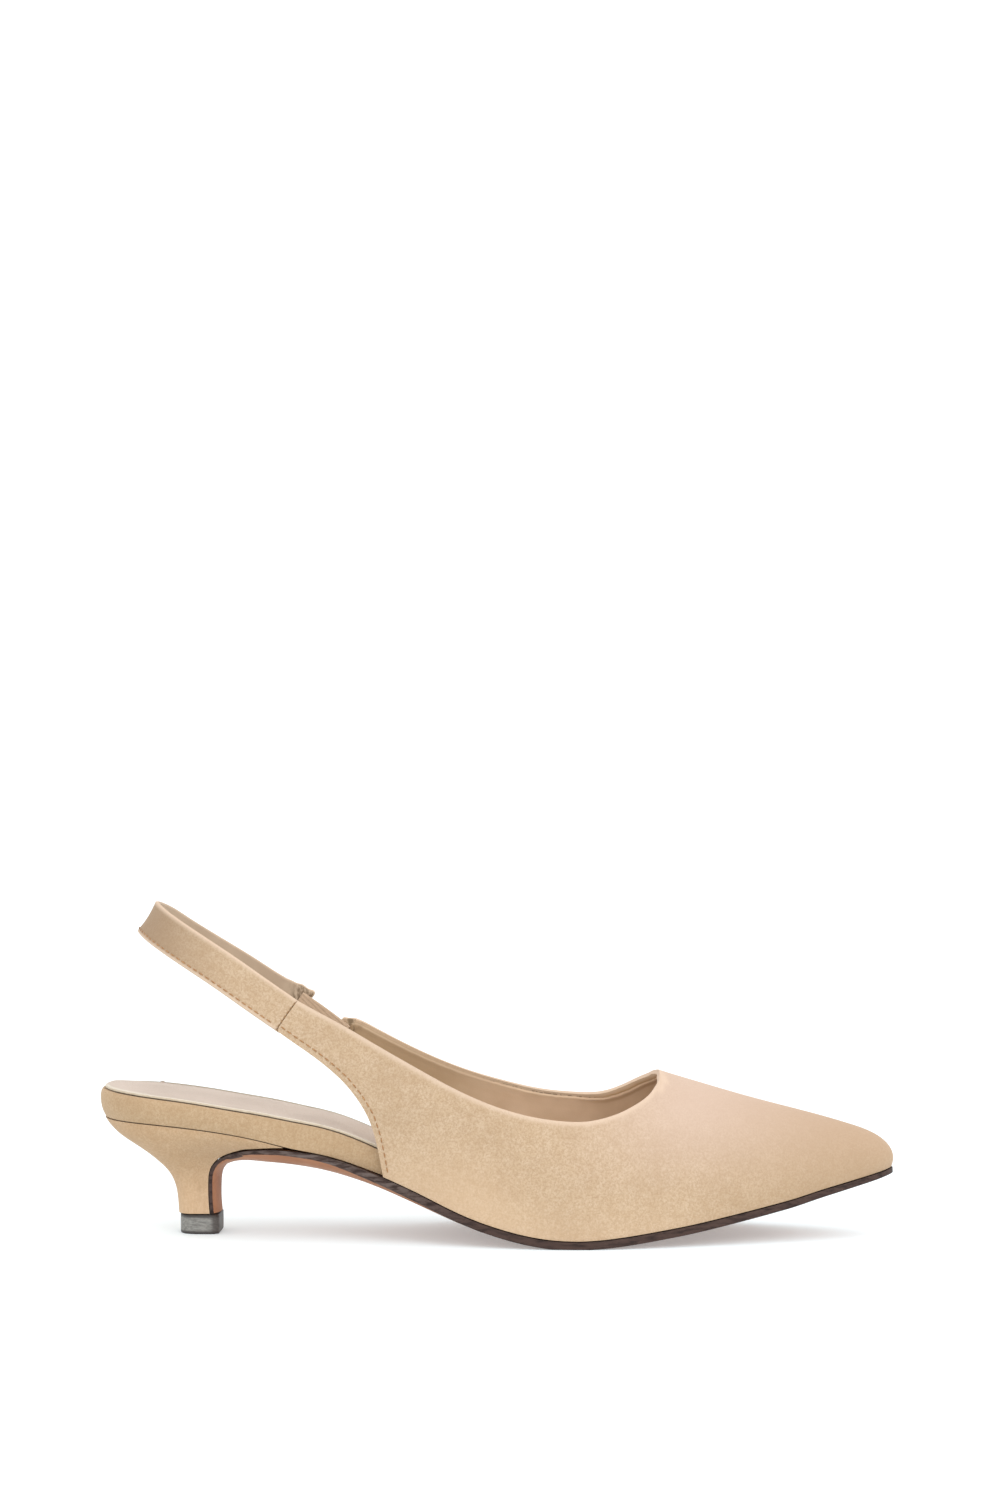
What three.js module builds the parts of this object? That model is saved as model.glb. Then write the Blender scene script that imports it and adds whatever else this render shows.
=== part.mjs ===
// Kitten heel pump, right shoe, open at the back and held by a sling strap.
// Millimetres. +X runs to the toe, +Y to the inner side of the foot, +Z is up.
// The origin is the middle of the heel tip's floor face.
import * as THREE from "three";

// Driving dimensions
const LENGTH = 265; // seat back to toe tip, measured along the floor
const SEAT_BACK = -34; // where the back of the seat lies along X
const TREAD = 75; // width over the sole edges at the ball of the foot
const HEEL_RISE = 38.5; // floor to the seam under the seat at the back
const THROAT_RISE = 54; // floor to the front of the opening
const WALL = 1.6; // thickness of the folded upper
const CLEARANCE = 0.3; // air left where two curved pieces meet
const SOLE_EDGE = 2.6; // outsole edge at the ball
const WAIST_BELLY = 4.9; // how far the rounded waist hangs below its edges
const SEAT_DEPTH = 9.3; // thickness of the covered seat board at the heel
const SOCK_DEPTH = 1; // insole lining the foot stands on
const TIP_LENGTH = 13.6;
const TIP_WIDTH = 16;
const TIP_RISE = 6.5;
const STRAP_WIDTH = 12.2;
const STRAP_WALL = 1.8;
const STRAP_SPREAD = TREAD * 0.72; // across the strap where it leaves the quarters
const STRAP_RISE = 105.4; // floor to the middle of the strap at the back
const GORE_WIDTH = 9;
const GORE_WALL = 1.1;

// Derived positions along the shoe
const WEDGE_END = 33.6; // the heel's wedge has thinned away here
const HEEL_CURVE = 24; // length of the rounded back end of the seat
const TOE_CURVE = 9; // length of the rounded toe end
const FEATHER_SET = 0.4; // the upper stands this far inside the sole edge
const TOE_END = SEAT_BACK + LENGTH - 1.3; // the upper bulges past the sole here
const THROAT = 152.8;
const TOE_LAG = 12.5; // the fold over the toe starts this far behind the tip

// Half widths in plan, as shares of the tread width
const PLAN = [
  { along: 0.0, outer: 0.349, inner: 0.349 },
  { along: 0.09, outer: 0.35, inner: 0.349 },
  { along: 0.177, outer: 0.351, inner: 0.348 },
  { along: 0.215, outer: 0.344, inner: 0.34 },
  { along: 0.255, outer: 0.333, inner: 0.327 },
  { along: 0.3, outer: 0.329, inner: 0.31 },
  { along: 0.34, outer: 0.339, inner: 0.303 },
  { along: 0.37, outer: 0.357, inner: 0.309 },
  { along: 0.41, outer: 0.392, inner: 0.332 },
  { along: 0.46, outer: 0.44, inner: 0.379 },
  { along: 0.51, outer: 0.48, inner: 0.429 },
  { along: 0.56, outer: 0.505, inner: 0.469 },
  { along: 0.61, outer: 0.509, inner: 0.491 },
  { along: 0.66, outer: 0.483, inner: 0.486 },
  { along: 0.705, outer: 0.443, inner: 0.459 },
  { along: 0.75, outer: 0.395, inner: 0.414 },
  { along: 0.83, outer: 0.294, inner: 0.313 },
  { along: 0.9, outer: 0.203, inner: 0.214 },
  { along: 0.95, outer: 0.144, inner: 0.147 },
  { along: 1.0, outer: 0.093, inner: 0.093 },
];

// Upper face of the outsole: up the heel breast, then forward to the toe.
// Height is a share of the heel rise, width a share of the plan.
const SOLE = [
  { along: 0.1431, height: 0.177, width: 0.289, edge: 0.46, belly: 0.4 },
  { along: 0.1417, height: 0.286, width: 0.297, edge: 0.46, belly: 0.4 },
  { along: 0.1415, height: 0.403, width: 0.312, edge: 0.46, belly: 0.41 },
  { along: 0.1421, height: 0.506, width: 0.342, edge: 0.46, belly: 0.43 },
  { along: 0.1468, height: 0.597, width: 0.403, edge: 0.5, belly: 0.4 },
  { along: 0.1585, height: 0.678, width: 0.525, edge: 0.54, belly: 0.4 },
  { along: 0.183, height: 0.747, width: 0.726, edge: 0.58, belly: 0.6 },
  { along: 0.217, height: 0.777, width: 0.9, edge: 0.65, belly: 0.94 },
  { along: 0.255, height: 0.774, width: 0.995, edge: 0.73, belly: 1.0 },
  { along: 0.3, height: 0.714, width: 1.0, edge: 0.77, belly: 1.0 },
  { along: 0.34, height: 0.616, width: 1.0, edge: 0.81, belly: 0.81 },
  { along: 0.37, height: 0.54, width: 1.0, edge: 0.88, belly: 0.74 },
  { along: 0.41, height: 0.423, width: 1.0, edge: 0.9, belly: 0.7 },
  { along: 0.46, height: 0.265, width: 1.0, edge: 0.93, belly: 0.42 },
  { along: 0.51, height: 0.152, width: 1.0, edge: 0.97, belly: 0.18 },
  { along: 0.56, height: 0.08, width: 1.0, edge: 1.0, belly: 0.04 },
  { along: 0.61, height: 0.062, width: 1.0, edge: 1.0, belly: 0.0 },
  { along: 0.66, height: 0.091, width: 1.0, edge: 1.0, belly: 0.0 },
  { along: 0.705, height: 0.135, width: 1.0, edge: 0.99, belly: 0.0 },
  { along: 0.75, height: 0.184, width: 1.0, edge: 0.97, belly: 0.0 },
  { along: 0.83, height: 0.295, width: 1.0, edge: 0.92, belly: 0.0 },
  { along: 0.9, height: 0.403, width: 1.0, edge: 0.85, belly: 0.0 },
  { along: 0.95, height: 0.492, width: 1.0, edge: 0.77, belly: 0.0 },
  { along: 1.0, height: 0.586, width: 1.0, edge: 0.73, belly: 0.0 },
];
const BREAST_TOP = 7; // row from which the outsole only runs forward

// Covered seat board. Seam and top are shares of the heel rise, depth of the seat
// depth, and tuck is how far the lower edge draws in, as a share of the seat depth.
const SEAT = [
  { along: 0.0, seam: 1.012, depth: 1.0, tuck: 0.2 },
  { along: 0.02, seam: 1.01, depth: 0.98, tuck: 0.2 },
  { along: 0.07, seam: 0.998, depth: 0.91, tuck: 0.19 },
  { along: 0.12, seam: 0.966, depth: 0.87, tuck: 0.17 },
  { along: 0.177, seam: 0.911, depth: 0.83, tuck: 0.14 },
  { along: 0.215, seam: 0.857, depth: 0.88, tuck: 0.09 },
  { along: 0.255, seam: 0.784, depth: 0.94, tuck: 0.04 },
  { along: 0.3, seam: 0.722, depth: 0.92, tuck: 0.03 },
  { along: 0.34, seam: 0.624, depth: 0.88, tuck: 0.02 },
  { along: 0.37, seam: 0.548, depth: 0.8, tuck: 0.02 },
  { along: 0.41, seam: 0.431, depth: 0.62, tuck: 0.02 },
  { along: 0.46, seam: 0.273, depth: 0.42, tuck: 0.02 },
  { along: 0.51, seam: 0.16, depth: 0.28, tuck: 0.02 },
  { along: 0.56, seam: 0.088, depth: 0.21, tuck: 0.02 },
  { along: 0.66, seam: 0.099, depth: 0.19, tuck: 0.02 },
  { along: 1.0, seam: 0.57, depth: 0.17, tuck: 0.02 },
];

// Ridge of the instep and toe. Height is a share of the throat rise, across a share
// of the tread; bulge and crown shape the wall below it.
const RIDGE = [
  { along: 0.22, height: 2.19, across: 0.03, bulge: 0.13, crown: 0.92 },
  { along: 0.3, height: 2.06, across: 0.035, bulge: 0.13, crown: 0.9 },
  { along: 0.37, height: 1.89, across: 0.035, bulge: 0.115, crown: 0.84 },
  { along: 0.46, height: 1.65, across: 0.035, bulge: 0.085, crown: 0.74 },
  { along: 0.56, height: 1.37, across: 0.035, bulge: 0.055, crown: 0.66 },
  { along: 0.61, height: 1.235, across: 0.035, bulge: 0.045, crown: 0.64 },
  { along: 0.66, height: 1.105, across: 0.035, bulge: 0.04, crown: 0.62 },
  { along: 0.705, height: 1.006, across: 0.03, bulge: 0.037, crown: 0.62 },
  { along: 0.75, height: 0.941, across: 0.02, bulge: 0.035, crown: 0.62 },
  { along: 0.79, height: 0.884, across: 0.012, bulge: 0.033, crown: 0.62 },
  { along: 0.83, height: 0.83, across: 0.006, bulge: 0.031, crown: 0.62 },
  { along: 0.87, height: 0.781, across: 0.003, bulge: 0.03, crown: 0.62 },
  { along: 0.9, height: 0.743, across: 0.0, bulge: 0.028, crown: 0.62 },
  { along: 0.93, height: 0.701, across: 0.0, bulge: 0.027, crown: 0.62 },
  { along: 0.95, height: 0.67, across: 0.0, bulge: 0.026, crown: 0.62 },
  { along: 1.0, height: 0.588, across: 0.0, bulge: 0.042, crown: 0.62 },
];

// Edges of each side of the upper. Up is the share of the way from the sole to the ridge.
const OUTER_TOPLINE = [
  { along: 0.2586, up: 0.408 },
  { along: 0.2868, up: 0.388 },
  { along: 0.3264, up: 0.374 },
  { along: 0.3635, up: 0.363 },
  { along: 0.4144, up: 0.355 },
  { along: 0.464, up: 0.354 },
  { along: 0.5132, up: 0.361 },
  { along: 0.5623, up: 0.382 },
  { along: 0.6112, up: 0.419 },
  { along: 0.6359, up: 0.46 },
  { along: 0.6609, up: 0.522 },
  { along: 0.6881, up: 0.636 },
  { along: 0.7004, up: 0.743 },
  { along: 0.7047, up: 0.82 },
  { along: 0.7049, up: 0.91 },
  { along: 0.705, up: 1.0 },
];
const INNER_TOPLINE = [
  { along: 0.3, up: 0.343 },
  { along: 0.322, up: 0.3605 },
  { along: 0.3478, up: 0.3555 },
  { along: 0.4019, up: 0.3525 },
  { along: 0.4543, up: 0.3635 },
  { along: 0.5059, up: 0.3835 },
  { along: 0.5576, up: 0.4105 },
  { along: 0.6094, up: 0.458 },
  { along: 0.6355, up: 0.499 },
  { along: 0.6615, up: 0.588 },
  { along: 0.6807, up: 0.693 },
  { along: 0.693, up: 0.776 },
  { along: 0.7, up: 0.85 },
  { along: 0.704, up: 0.92 },
  { along: 0.705, up: 1.0 },
];
const OUTER_BACK_EDGE = [
  { along: 0.2325, up: 0.3105 },
  { along: 0.2495, up: 0.289 },
  { along: 0.2744, up: 0.264 },
  { along: 0.2997, up: 0.237 },
  { along: 0.3124, up: 0.223 },
  { along: 0.325, up: 0.206 },
  { along: 0.3374, up: 0.18 },
  { along: 0.3446, up: 0.163 },
  { along: 0.3512, up: 0.136 },
  { along: 0.3573, up: 0.094 },
  { along: 0.36, up: 0.06 },
  { along: 0.3626, up: 0.025 },
  { along: 0.364, up: 0.0 },
];
const INNER_BACK_EDGE = [
  { along: 0.2755, up: 0.255 },
  { along: 0.2997, up: 0.226 },
  { along: 0.3124, up: 0.208 },
  { along: 0.325, up: 0.19 },
  { along: 0.3374, up: 0.166 },
  { along: 0.3446, up: 0.149 },
  { along: 0.3512, up: 0.126 },
  { along: 0.3573, up: 0.088 },
  { along: 0.36, up: 0.056 },
  { along: 0.3626, up: 0.024 },
  { along: 0.364, up: 0.0 },
];

// Heel block, one row per ring from the tip to the seam. Front is the row of the sole
// table it meets; back and rise are shares of the heel rise, half of the tip width.
const HEEL = [
  { front: 0.0, back: -0.19, rise: 0.177, half: 0.5 },
  { front: 1.0, back: -0.197, rise: 0.286, half: 0.51 },
  { front: 2.0, back: -0.21, rise: 0.4, half: 0.54 },
  { front: 3.0, back: -0.254, rise: 0.504, half: 0.61 },
  { front: 3.6, back: -0.305, rise: 0.566, half: 0.7 },
  { front: 4.0, back: -0.354, rise: 0.613, half: 0.79 },
  { front: 4.5, back: -0.417, rise: 0.668, half: 0.91 },
  { front: 5.0, back: -0.492, rise: 0.725, half: 1.05 },
  { front: 5.5, back: -0.579, rise: 0.782, half: 1.19 },
  { front: 6.0, back: -0.659, rise: 0.831, half: 1.31 },
  { front: 6.5, back: -0.729, rise: 0.883, half: 1.41 },
  { front: 7.0, back: -0.777, rise: 0.93, half: 1.48 },
  { front: 7.35, back: -0.808, rise: 0.966, half: 1.515 },
  { front: 7.65, back: -0.831, rise: 1.0, half: 1.53 },
];

// Middle line of the sling strap from the outer quarter round the back to the gore.
// Along is a share of the length from the seat back, across of the strap spread,
// height of the strap rise; lean tips its width forward, in degrees, and nip leans
// its upper edge across.
const STRAP = [
  { along: 0.2448, across: -0.5, height: 0.7075, lean: 32, nip: 0.15 },
  { along: 0.211, across: -0.493, height: 0.765, lean: 32, nip: 0.14 },
  { along: 0.17, across: -0.47, height: 0.835, lean: 32, nip: 0.1 },
  { along: 0.1325, across: -0.422, height: 0.8935, lean: 33, nip: 0.06 },
  { along: 0.1005, across: -0.337, height: 0.9405, lean: 33, nip: 0.03 },
  { along: 0.0752, across: -0.213, height: 0.9775, lean: 33, nip: 0.01 },
  { along: 0.0585, across: 0.0, height: 1.0005, lean: 32, nip: 0.0 },
  { along: 0.0715, across: 0.213, height: 0.977, lean: 33, nip: -0.01 },
  { along: 0.0965, across: 0.337, height: 0.9285, lean: 33, nip: -0.03 },
  { along: 0.1285, across: 0.422, height: 0.8745, lean: 33, nip: -0.06 },
  { along: 0.168, across: 0.47, height: 0.8125, lean: 32, nip: -0.1 },
  { along: 0.209, across: 0.493, height: 0.746, lean: 32, nip: -0.14 },
  { along: 0.251, across: 0.5, height: 0.689, lean: 32, nip: -0.15 },
];

// Elastic gore on the inner side, lapped behind the strap and the quarter.
const GORE = [
  { along: 0.24, across: 0.452, height: 0.706, lean: 32, nip: -0.15 },
  { along: 0.255, across: 0.45, height: 0.681, lean: 32, nip: -0.15 },
  { along: 0.27, across: 0.447, height: 0.655, lean: 32, nip: -0.15 },
  { along: 0.284, across: 0.444, height: 0.629, lean: 32, nip: -0.15 },
  { along: 0.3, across: 0.441, height: 0.598, lean: 32, nip: -0.15 },
];

// Colours and finishes
const FINISH = {
  suede: { color: 0xd3b48c, roughness: 0.95, metalness: 0 },
  suedeVamp: { color: 0xdabf9c, roughness: 0.95, metalness: 0 },
  suedeHeel: { color: 0xc9a67e, roughness: 0.95, metalness: 0 },
  sock: { color: 0xd4c4b6, roughness: 0.7, metalness: 0 },
  sole: { color: 0xb97a55, roughness: 0.6, metalness: 0 },
  rubber: { color: 0x6f6a63, roughness: 0.8, metalness: 0 },
  elastic: { color: 0xb69c78, roughness: 0.9, metalness: 0 },
};

const clamp = (value, low, high) => Math.min(high, Math.max(low, value));
const lerp = (a, b, t) => a + (b - a) * t;
const atShare = (share) => SEAT_BACK + share * LENGTH;
const shareOf = (x) => (x - SEAT_BACK) / LENGTH;
const sideColumn = (side) => (side < 0 ? "outer" : "inner");

// Smooth curve through one column of a table; keys are the rows' positions.
function through(rows, keys, column, at) {
  const last = rows.length - 1;
  let i = 0;
  while (i < last - 1 && at > keys(i + 1)) i += 1;
  const slope = (k) => {
    const low = Math.max(k - 1, 0);
    const high = Math.min(k + 1, last);
    return (rows[high][column] - rows[low][column]) / (keys(high) - keys(low));
  };
  const span = keys(i + 1) - keys(i);
  const t = clamp((at - keys(i)) / span, 0, 1);
  const a = rows[i][column];
  const b = rows[i + 1][column];
  const rest = t * t * (3 - 2 * t);
  const leave = t * (1 - t) * (1 - t) * slope(i) * span;
  const arrive = t * t * (1 - t) * slope(i + 1) * span;
  return lerp(a, b, rest) + leave - arrive;
}

const byShare = (rows, column, x) => through(rows, (i) => rows[i].along, column, shareOf(x));
const byRow = (rows, column, at) => through(rows, (i) => i, column, at);

// Half width of the plan, rounded off at the seat back and at the toe.
function halfWidth(x, side) {
  const heelEnd = clamp((SEAT_BACK + HEEL_CURVE - x) / HEEL_CURVE, 0, 1);
  const toeEnd = clamp((x - (TOE_END - TOE_CURVE)) / TOE_CURVE, 0, 1);
  const round = Math.sqrt(1 - heelEnd * heelEnd) * Math.sqrt(1 - toeEnd * toeEnd);
  return byShare(PLAN, sideColumn(side), x) * TREAD * round;
}

// Point of the plan outline, drawn in by a distance along the outline's normal.
function planPoint(x, side, inset) {
  const step = 0.02;
  const low = Math.max(x - step, SEAT_BACK);
  const high = Math.min(x + step, TOE_END);
  const run = high - low;
  const rise = halfWidth(high, side) - halfWidth(low, side);
  const reach = Math.hypot(run, rise);
  const half = halfWidth(x, side);
  const normal = { x: -rise / reach, y: run / reach };
  if (half < 1e-6) {
    normal.x = x > 0 ? 1 : -1;
    normal.y = 0;
  }
  const drawn = Math.max(half - normal.y * inset, 0);
  return { x: x - normal.x * inset, y: side * drawn, nx: normal.x, ny: side * normal.y };
}

// Keeps the foot of the heel and of its breast on the tip, less and less up the heel.
function footShift(row) {
  const gap = TIP_RISE + CLEARANCE - SOLE[0].height * HEEL_RISE;
  return gap * clamp(1 - row / BREAST_TOP, 0, 1);
}

// Place on the upper face of the outsole, by row of its table.
function solePath(row) {
  const at = (r) => ({
    x: atShare(byRow(SOLE, "along", r)),
    z: byRow(SOLE, "height", r) * HEEL_RISE + footShift(r),
  });
  const step = 0.01;
  const low = at(Math.max(row - step, 0));
  const high = at(Math.min(row + step, SOLE.length - 1));
  const reach = Math.hypot(high.x - low.x, high.z - low.z);
  const here = at(row);
  return { ...here, nx: (high.z - low.z) / reach, nz: -(high.x - low.x) / reach };
}

// Row of the outsole table at a place forward of the heel breast.
function soleRow(x) {
  let low = BREAST_TOP;
  let high = SOLE.length - 1;
  for (let k = 0; k < 30; k += 1) {
    const middle = (low + high) / 2;
    if (solePath(middle).x < x) low = middle;
    else high = middle;
  }
  return (low + high) / 2;
}

const soleTop = (x) => solePath(soleRow(x)).z;

// Underside of the seat board: the heel's seam, then the outsole.
function seamHeight(x) {
  const tabled = byShare(SEAT, "seam", x) * HEEL_RISE;
  return x < WEDGE_END ? tabled : Math.max(soleTop(x) + CLEARANCE, tabled - CLEARANCE);
}

// Welds quads into one closed body with its faces outward.
class Skin {
  constructor() {
    this.points = [];
    this.faces = [];
    this.index = new Map();
  }

  add(point) {
    const key = [point.x, point.y, point.z].map((v) => Math.round(v * 2000)).join(",");
    if (!this.index.has(key)) {
      this.index.set(key, this.points.length);
      this.points.push(new THREE.Vector3(point.x, point.y, point.z));
    }
    return this.index.get(key);
  }

  triangle(a, b, c) {
    if (a !== b && b !== c && c !== a) this.faces.push([a, b, c]);
  }

  quad(a, b, c, d) {
    const [i, j, k, l] = [a, b, c, d].map((point) => this.add(point));
    this.triangle(i, j, k);
    this.triangle(i, k, l);
  }

  normals() {
    const sums = this.points.map(() => new THREE.Vector3());
    for (const [a, b, c] of this.faces) {
      const [p, q, r] = [a, b, c].map((i) => this.points[i]);
      const normal = q.clone().sub(p).cross(r.clone().sub(p));
      for (const i of [a, b, c]) sums[i].add(normal);
    }
    return sums.map((sum) => sum.normalize());
  }

  volume() {
    let total = 0;
    for (const [a, b, c] of this.faces) {
      const [p, q, r] = [a, b, c].map((i) => this.points[i]);
      total += p.dot(q.clone().cross(r)) / 6;
    }
    return total;
  }

  // Gives an open sheet a wall on its inner side and closes its rims.
  thicken(wall, flatRim) {
    const outward = this.normals();
    const count = this.points.length;
    const open = new Map();
    for (const [a, b, c] of this.faces) {
      for (const [from, to] of [[a, b], [b, c], [c, a]]) {
        if (open.has(`${to},${from}`)) open.delete(`${to},${from}`);
        else open.set(`${from},${to}`, [from, to]);
      }
    }
    for (let i = 0; i < count; i += 1) {
      const normal = outward[i];
      if (flatRim.has(i)) normal.setZ(0).normalize();
      this.points.push(this.points[i].clone().addScaledVector(normal, -wall));
    }
    for (const [a, b, c] of [...this.faces]) this.faces.push([a + count, c + count, b + count]);
    for (const [from, to] of open.values()) {
      this.faces.push([to, from, from + count]);
      this.faces.push([to, from + count, to + count]);
    }
  }

  mesh(name, finish) {
    const sign = this.volume() < 0 ? -1 : 1;
    const order = sign < 0 ? this.faces.map(([a, b, c]) => [a, c, b]) : this.faces;
    const geometry = new THREE.BufferGeometry();
    const flat = this.points.flatMap((point) => [point.x, point.y, point.z]);
    geometry.setAttribute("position", new THREE.Float32BufferAttribute(flat, 3));
    geometry.setIndex(order.flat());
    geometry.computeVertexNormals();
    const material = new THREE.MeshStandardMaterial(FINISH[finish]);
    material.name = finish;
    const mesh = new THREE.Mesh(geometry, material);
    mesh.name = name;
    return mesh;
  }
}

// Skins a row of rings; each ring is two matched halves listed outer, then inner.
function loft(rings) {
  const skin = new Skin();
  const loops = rings.map(([outer, inner]) => [...outer, ...[...inner].reverse()]);
  const count = loops[0].length;
  for (let i = 0; i + 1 < loops.length; i += 1) {
    for (let j = 0; j < count; j += 1) {
      const next = (j + 1) % count;
      skin.quad(loops[i][j], loops[i + 1][j], loops[i + 1][next], loops[i][next]);
    }
  }
  const first = rings[0];
  const end = rings[rings.length - 1];
  for (let k = 0; k + 1 < first[0].length; k += 1) {
    skin.quad(first[0][k], first[0][k + 1], first[1][k + 1], first[1][k]);
    skin.quad(end[0][k + 1], end[0][k], end[1][k], end[1][k + 1]);
  }
  return skin;
}

const SIDES = [-1, 1];
const bothSides = (half) => SIDES.map(half);

// Places along the shoe, closer together where an end is rounded.
function stations(from, to, pitch, heelRound, toeRound) {
  const places = [];
  const steps = 6;
  const low = heelRound ? from + HEEL_CURVE : from;
  const high = toeRound ? to - TOE_CURVE : to;
  if (heelRound) {
    for (let k = 0; k < steps; k += 1) {
      places.push(low - HEEL_CURVE * Math.cos((k / steps) * Math.PI / 2));
    }
  }
  const count = Math.round((high - low) / pitch);
  for (let k = 0; k <= count; k += 1) places.push(lerp(low, high, k / count));
  if (toeRound) {
    for (let k = 1; k <= steps; k += 1) {
      places.push(high + TOE_CURVE * Math.sin((k / steps) * Math.PI / 2));
    }
  }
  return places;
}

// Outsole: flat on top, rounded under the waist, worn flat where it meets the floor.
function outsole() {
  const spread = [0, 0.3, 0.55, 0.75, 0.9];
  const rows = [];
  for (let r = 0; r < BREAST_TOP + 1; r += 0.5) rows.push(r);
  const toeStations = stations(WEDGE_END, TOE_END, 6, false, true);
  for (const x of toeStations.slice(1)) rows.push(soleRow(x));
  const rings = rows.map((row) => {
    const path = solePath(row);
    const edge = byRow(SOLE, "edge", row) * SOLE_EDGE;
    const belly = byRow(SOLE, "belly", row) * WAIST_BELLY;
    const width = byRow(SOLE, "width", row);
    const trim = 0.35;
    return bothSides((side) => {
      const half = halfWidth(path.x, side) * width;
      const cut = Math.min(trim, half / 2);
      const at = (across, depth) => ({
        x: path.x + path.nx * depth,
        y: side * across,
        z: Math.max(path.z + path.nz * depth, 0),
      });
      const under = (share) => edge + belly * Math.sqrt(Math.max(1 - share * share, 0)) ** 1.4;
      const points = spread.map((share) => at(share * (half - cut), under(share)));
      points.push(at(half - cut, edge));
      points.push(at(half, edge - trim));
      points.push(at(half, 0));
      points.push(at(half * 0.5, 0));
      points.push(at(0, 0));
      return points;
    });
  });
  return loft(rings).mesh("outsole", "sole");
}

// Profile of the covered seat's side: inset as a share of the tuck, height of the depth.
const SEAT_SIDE = [
  { inset: 1.0, height: 0.0 },
  { inset: 0.42, height: 0.2 },
  { inset: 0.1, height: 0.45 },
  { inset: 0.0, height: 0.7 },
  { inset: 0.12, height: 0.9 },
  { inset: 0.45, height: 1.0 },
];

// How far the seat board stands inside the plan: flush at the heel, then within the upper.
function boardInset(x) {
  const inside = FEATHER_SET + WALL + CLEARANCE + 0.2;
  const t = clamp((x - WEDGE_END) / (62 - WEDGE_END), 0, 1);
  return lerp(0.2, inside, t * t * (3 - 2 * t));
}

const boardTop = (x) => seamHeight(x) + byShare(SEAT, "depth", x) * SEAT_DEPTH;

function seatBoard() {
  const places = stations(SEAT_BACK, TOE_END, 6, true, true);
  const rings = places.map((x) => {
    const tuck = byShare(SEAT, "tuck", x) * SEAT_DEPTH;
    const low = seamHeight(x);
    const high = boardTop(x);
    return bothSides((side) => {
      const walls = SEAT_SIDE.map((row) => {
        const point = planPoint(x, side, boardInset(x) + row.inset * tuck);
        return { x: point.x, y: point.y, z: lerp(low, high, row.height) };
      });
      const first = walls[0];
      const end = walls[walls.length - 1];
      const centre = (point) => ({ x: point.x, y: 0, z: point.z });
      return [centre(first), ...walls, centre(end)];
    });
  });
  return loft(rings).mesh("seat_board", "suede");
}

function insole() {
  const places = stations(SEAT_BACK, TOE_END, 6, true, true);
  const rings = places.map((x) => {
    const low = boardTop(x) + CLEARANCE;
    return bothSides((side) => {
      const tuck = byShare(SEAT, "tuck", x) * SEAT_DEPTH * 0.45;
      const inset = boardInset(x) + tuck + 0.8;
      const at = (more, height, share = 1) => {
        const point = planPoint(x, side, inset + more);
        return { x: point.x, y: point.y * share, z: low + height };
      };
      return [at(0, 0, 0), at(0, 0), at(0, SOCK_DEPTH * 0.7), at(0.4, SOCK_DEPTH), at(0.4, SOCK_DEPTH, 0)];
    });
  });
  return loft(rings).mesh("insole", "sock");
}

// Heel block: rings from the tip up to the seat seam, with a straight front.
function heel() {
  const arc = 9;
  const straight = 7;
  const ends = HEEL.map((row) => {
    const path = solePath(row.front);
    return {
      at: path.x,
      front: { x: path.x - path.nx * CLEARANCE, z: path.z - path.nz * CLEARANCE },
      back: { x: row.back * HEEL_RISE, z: row.rise * HEEL_RISE + footShift(row.front) },
    };
  });
  const top = ends[ends.length - 1];
  const seamRise = (share) => {
    const seam = byShare(SEAT, "seam", lerp(top.back.x, top.front.x, share)) * HEEL_RISE;
    return seam - CLEARANCE - lerp(top.back.z, top.front.z, share);
  };
  const rings = HEEL.map((row, k) => {
    const { at, front, back } = ends[k];
    const level = k / (HEEL.length - 1);
    const bend = lerp(0.52, 0.4, level);
    const power = lerp(2.6, 2.05, level);
    return bothSides((side) => {
      const frontHalf = halfWidth(at, side) * byRow(SOLE, "width", row.front);
      const points = [];
      const shares = [];
      for (let j = 0; j <= arc; j += 1) shares.push(bend * (1 - Math.cos((j / arc) * Math.PI / 2)));
      for (let j = 1; j <= straight; j += 1) shares.push(lerp(bend, 1, j / straight));
      for (const share of shares) {
        const round = clamp(1 - share / bend, 0, 1);
        const dome = (1 - round ** power) ** (1 / power);
        const t = clamp((share - bend) / (1 - bend), 0, 1);
        const half = dome * lerp(row.half * TIP_WIDTH, frontHalf, t * t * (3 - 2 * t));
        const z = lerp(back.z, front.z, share) + seamRise(share) * level ** 3;
        points.push({ x: lerp(back.x, front.x, share), y: side * half, z });
      }
      const corner = points[points.length - 1];
      points.push({ x: corner.x, y: corner.y * 0.5, z: corner.z });
      points.push({ x: corner.x, y: 0, z: corner.z });
      return points;
    });
  });
  return loft(rings).mesh("heel", "suedeHeel");
}

// Rubber tip under the heel: round at the back, soft corners at the front.
function topPiece() {
  const corner = 2;
  const levels = [
    { z: 0, inset: 0.35 },
    { z: 0.35, inset: 0 },
    { z: TIP_RISE - 0.3, inset: 0 },
    { z: TIP_RISE, inset: 0.3 },
  ];
  const rings = levels.map(({ z, inset }) => bothSides((side) => {
    const half = TIP_WIDTH / 2 - inset;
    const back = -TIP_LENGTH / 2 + inset;
    const front = TIP_LENGTH / 2 - inset;
    const points = [];
    for (let j = 0; j <= 8; j += 1) {
      const round = Math.cos((j / 8) * Math.PI / 2);
      const dome = (1 - round ** 2.6) ** (1 / 2.6);
      points.push({ x: back * round, y: side * half * dome, z });
    }
    for (let j = 0; j <= 4; j += 1) {
      const turn = (j / 4) * Math.PI / 2;
      const x = front - corner + corner * Math.sin(turn);
      const y = side * (half - corner + corner * Math.cos(turn));
      points.push({ x, y, z });
    }
    points.push({ x: front, y: 0, z });
    return points;
  }));
  return loft(rings).mesh("top_piece", "rubber");
}

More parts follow.
